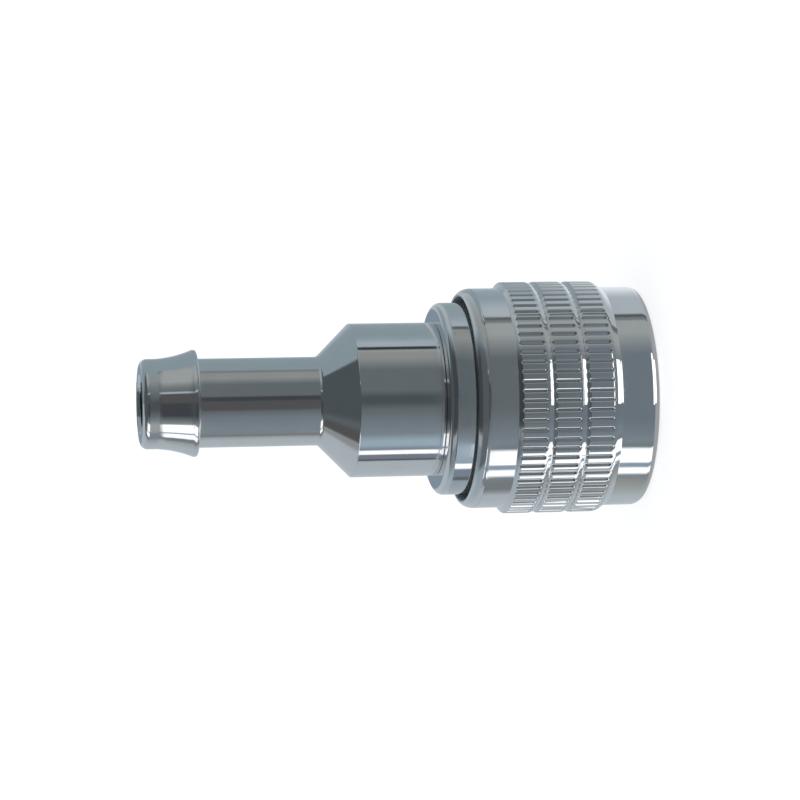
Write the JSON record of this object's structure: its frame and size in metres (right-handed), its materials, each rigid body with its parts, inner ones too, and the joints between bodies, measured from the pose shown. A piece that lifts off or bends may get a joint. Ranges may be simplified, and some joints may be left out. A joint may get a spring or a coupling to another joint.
{
  "type": "outboard fuel line connector",
  "caption": "Chromed ball lock quick connector for a fuel line: knurled sleeve that pulls back, spring valve, flange, barrel and hose barb.",
  "frame": {"origin": "on the connector's axis, in the plane of the sleeve's mouth face that it stands on", "axes": "+Z along the axis from the mouth to the hose barb; +X through the first lock ball"},
  "size_m": [0.025, 0.025, 0.054],
  "materials": {
    "chrome_plate": "polished",
    "spring_steel": "drawn wire",
    "ball_steel": "polished",
    "bare_brass": "turned",
    "seal_rubber": "matt"
  },
  "bodies": {
    "socket": {"socket_body": "chrome_plate", "hose_adapter": "chrome_plate", "plug_seal": "seal_rubber", "valve_guide": "bare_brass", "valve_spring": "spring_steel", "joint_seal": "seal_rubber"},
    "sleeve_carrier": {"retaining_ring": "spring_steel", "sleeve_spring": "spring_steel"},
    "sleeve": {"locking_sleeve": "chrome_plate"},
    "valve": {"valve_poppet": "bare_brass", "valve_seal": "seal_rubber"},
    "ball_1": {"lock_ball_1": "ball_steel"},
    "ball_2": {"lock_ball_2": "ball_steel"},
    "ball_3": {"lock_ball_3": "ball_steel"},
    "ball_4": {"lock_ball_4": "ball_steel"},
    "ball_5": {"lock_ball_5": "ball_steel"},
    "ball_6": {"lock_ball_6": "ball_steel"}
  },
  "joints": [
    {"name": "sleeve_spin", "type": "hinge", "parent": "socket", "child": "sleeve_carrier", "pos_m": [0, 0, 0], "axis": [0, 0, 1], "continuous": true},
    {"name": "sleeve_slide", "type": "slide", "parent": "sleeve_carrier", "child": "sleeve", "axis": [0, 0, 1], "range_m": [0, 0.003], "stiffness_N_per_m": 1500, "springref_m": -0.006, "deforming": ["sleeve_spring"]},
    {"name": "valve_slide", "type": "slide", "parent": "socket", "child": "valve", "axis": [0, 0, 1], "range_m": [0, 0.0025], "stiffness_N_per_m": 500, "springref_m": -0.004, "deforming": ["valve_spring"]},
    {"name": "ball_1_slide", "type": "slide", "parent": "socket", "child": "ball_1", "axis": [1, 0, 0], "range_m": [0, 0.0008]},
    {"name": "ball_2_slide", "type": "slide", "parent": "socket", "child": "ball_2", "axis": [0.5, 0.866, 0], "range_m": [0, 0.0008]},
    {"name": "ball_3_slide", "type": "slide", "parent": "socket", "child": "ball_3", "axis": [-0.5, 0.866, 0], "range_m": [0, 0.0008]},
    {"name": "ball_4_slide", "type": "slide", "parent": "socket", "child": "ball_4", "axis": [-1, 0, 0], "range_m": [0, 0.0008]},
    {"name": "ball_5_slide", "type": "slide", "parent": "socket", "child": "ball_5", "axis": [-0.5, -0.866, 0], "range_m": [0, 0.0008]},
    {"name": "ball_6_slide", "type": "slide", "parent": "socket", "child": "ball_6", "axis": [0.5, -0.866, 0], "range_m": [0, 0.0008]}
  ],
  "couplings": [
    {"joint": "ball_1_slide", "follows": "sleeve_slide", "ratio": 0.26667},
    {"joint": "ball_2_slide", "follows": "sleeve_slide", "ratio": 0.26667},
    {"joint": "ball_3_slide", "follows": "sleeve_slide", "ratio": 0.26667},
    {"joint": "ball_4_slide", "follows": "sleeve_slide", "ratio": 0.26667},
    {"joint": "ball_5_slide", "follows": "sleeve_slide", "ratio": 0.26667},
    {"joint": "ball_6_slide", "follows": "sleeve_slide", "ratio": 0.26667}
  ]
}
